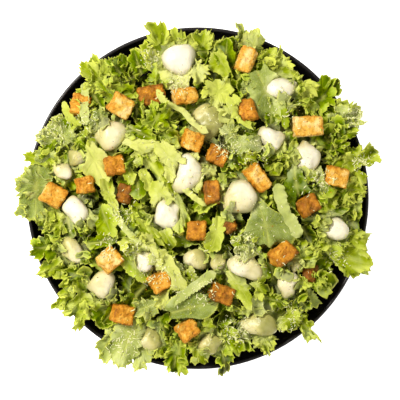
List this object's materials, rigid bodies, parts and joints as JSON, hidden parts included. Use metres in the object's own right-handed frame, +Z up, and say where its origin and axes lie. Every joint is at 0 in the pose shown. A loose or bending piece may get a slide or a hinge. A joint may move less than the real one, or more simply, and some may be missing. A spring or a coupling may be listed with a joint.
{
  "type": "caesar salad in a bowl",
  "caption": "Round black bowl heaped with curly green lettuce, toasted bread croutons and dollops of pale creamy dressing.",
  "frame": {"origin": "middle of the bowl's flat base, on the surface it stands on", "axes": "+Z up along the bowl's axis; +Y towards the top of the plan view"},
  "size_m": [0.2479, 0.2399, 0.1163],
  "materials": {
    "bowl": "plain glossy black melamine",
    "lettuce": "fresh moist lettuce leaf, bright yellow green with pale ribs and frilled edges",
    "crouton": "dry toasted bread, golden with browned edges and open crumb",
    "dressing": "thick creamy dressing with a soft sheen and specks of pepper"
  },
  "bodies": {
    "root": {"bowl": "bowl", "salad": "lettuce", "crouton_01": "crouton", "crouton_02": "crouton", "crouton_03": "crouton", "crouton_04": "crouton", "crouton_05": "crouton", "crouton_06": "crouton", "crouton_07": "crouton", "crouton_08": "crouton", "crouton_09": "crouton", "crouton_10": "crouton", "crouton_11": "crouton", "crouton_12": "crouton", "crouton_13": "crouton", "crouton_14": "crouton", "crouton_15": "crouton", "crouton_16": "crouton", "crouton_17": "crouton", "crouton_18": "crouton", "crouton_19": "crouton", "crouton_20": "crouton", "crouton_21": "crouton", "crouton_22": "crouton", "crouton_23": "crouton", "crouton_24": "crouton", "crouton_25": "crouton", "crouton_26": "crouton", "dollop_01": "dressing", "dollop_02": "dressing", "dollop_03": "dressing", "dollop_04": "dressing", "dollop_05": "dressing", "dollop_06": "dressing", "dollop_07": "dressing", "dollop_08": "dressing", "dollop_09": "dressing", "dollop_10": "dressing", "dollop_11": "dressing", "dollop_12": "dressing", "dollop_13": "dressing", "dollop_14": "dressing", "dollop_15": "dressing", "dollop_16": "dressing", "dollop_17": "dressing", "dollop_18": "dressing", "dollop_19": "dressing", "dollop_20": "dressing", "dollop_21": "dressing", "dollop_22": "dressing", "dollop_23": "dressing", "dollop_24": "dressing"}
  },
  "joints": []
}
